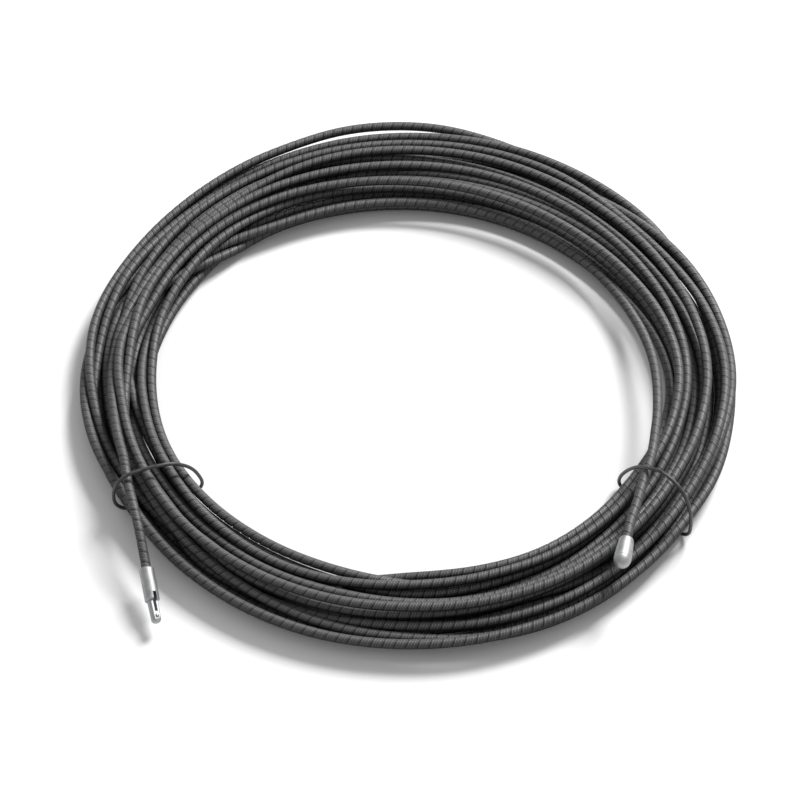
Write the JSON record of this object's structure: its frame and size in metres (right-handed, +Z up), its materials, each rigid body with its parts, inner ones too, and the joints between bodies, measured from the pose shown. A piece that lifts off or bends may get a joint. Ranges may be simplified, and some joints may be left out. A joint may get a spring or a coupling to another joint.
{
  "type": "drain cleaning cable",
  "caption": "Flexible wire-wound drain cable stored as a tied ring, with a slotted male coupling on one free end and a bulb-shaped plug on the other.",
  "frame": {"origin": "centre of the ring, on the surface it lies on", "axes": "+Z up, along the ring's axis; the coupling and the plug both point towards -Y, with the coupling on the -X side"},
  "size_m": [0.6338, 0.6338, 0.0643],
  "materials": {
    "cable_steel": "dark oiled spring wire",
    "core_steel": "stranded wire rope",
    "fitting_steel": "bright plated, lightly worn",
    "pin_steel": "plain steel",
    "spring_steel": "drawn spring wire",
    "tie_coating": "dark coated wire"
  },
  "bodies": {
    "coil": {"cable_coil": "cable_steel", "tie_wire_left": "tie_coating", "tie_wire_right": "tie_coating"},
    "coupling_end": {"coupling_tail_winding": "cable_steel", "coupling_tail_core": "core_steel", "male_coupling_body": "fitting_steel", "plunger_bore_plug": "pin_steel", "plunger_spring": "spring_steel"},
    "plunger": {"coupling_plunger": "pin_steel"},
    "bulb_end": {"bulb_tail_winding": "cable_steel", "bulb_tail_core": "core_steel", "bulb_end_plug": "fitting_steel"}
  },
  "joints": [
    {"name": "coupling_end_flex", "type": "hinge", "parent": "coil", "child": "coupling_end", "pos_m": [-0.2613, -0.146, 0.0482], "axis": [0, 0, 1], "range_deg": [-12, 0], "stiffness_Nm_per_rad": 2},
    {"name": "plunger_press", "type": "slide", "parent": "coupling_end", "child": "plunger", "axis": [-0.4764, 0.0922, -0.8744], "range_m": [0, 0.0011], "stiffness_N_per_m": 800, "springref_m": -0.003, "deforming": ["plunger_spring"]},
    {"name": "bulb_end_flex", "type": "hinge", "parent": "coil", "child": "bulb_end", "pos_m": [0.2174, -0.1445, 0.0526], "axis": [0, 0, 1], "range_deg": [-5, 5], "stiffness_Nm_per_rad": 2}
  ]
}
